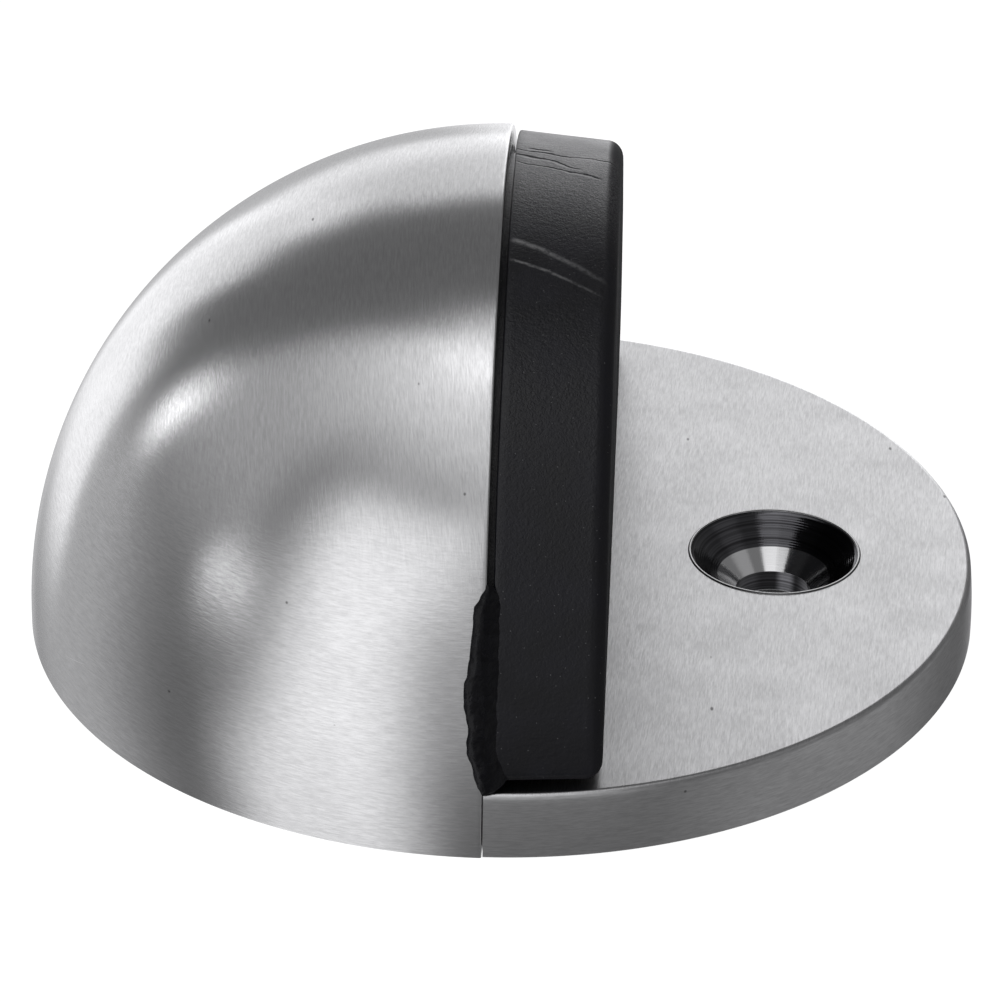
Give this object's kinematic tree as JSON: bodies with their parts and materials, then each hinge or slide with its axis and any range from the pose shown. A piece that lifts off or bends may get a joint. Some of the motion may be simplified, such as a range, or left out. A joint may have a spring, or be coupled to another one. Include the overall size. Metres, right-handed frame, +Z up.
{
  "type": "door stop",
  "caption": "Half-dome floor door stop: brushed steel quarter-ball with a black rubber buffer on its flat face, on a round base plate with a countersunk screw hole.",
  "frame": {"origin": "on the floor at the centre of the round plan, in the plane where the dome's metal ends and the buffer begins", "axes": "+X points from the dome to the door, square to the buffer's face; Y runs along the buffer; +Z is up out of the floor, along the floor screw"},
  "size_m": [0.045, 0.045, 0.023],
  "materials": {
    "plate_steel": "brushed",
    "dome_steel": "brushed",
    "core_casting": "as cast",
    "bond_adhesive": "matte",
    "buffer_rubber": "matte",
    "black_glue": "semi-gloss",
    "screw_steel": "machined"
  },
  "bodies": {
    "root": {"base_plate": "plate_steel", "dome_shell": "dome_steel", "core_block": "core_casting", "shell_bond": "bond_adhesive", "rubber_buffer": "buffer_rubber", "buffer_glue": "black_glue", "clamp_screw_left": "screw_steel", "clamp_screw_right": "screw_steel"}
  },
  "joints": []
}
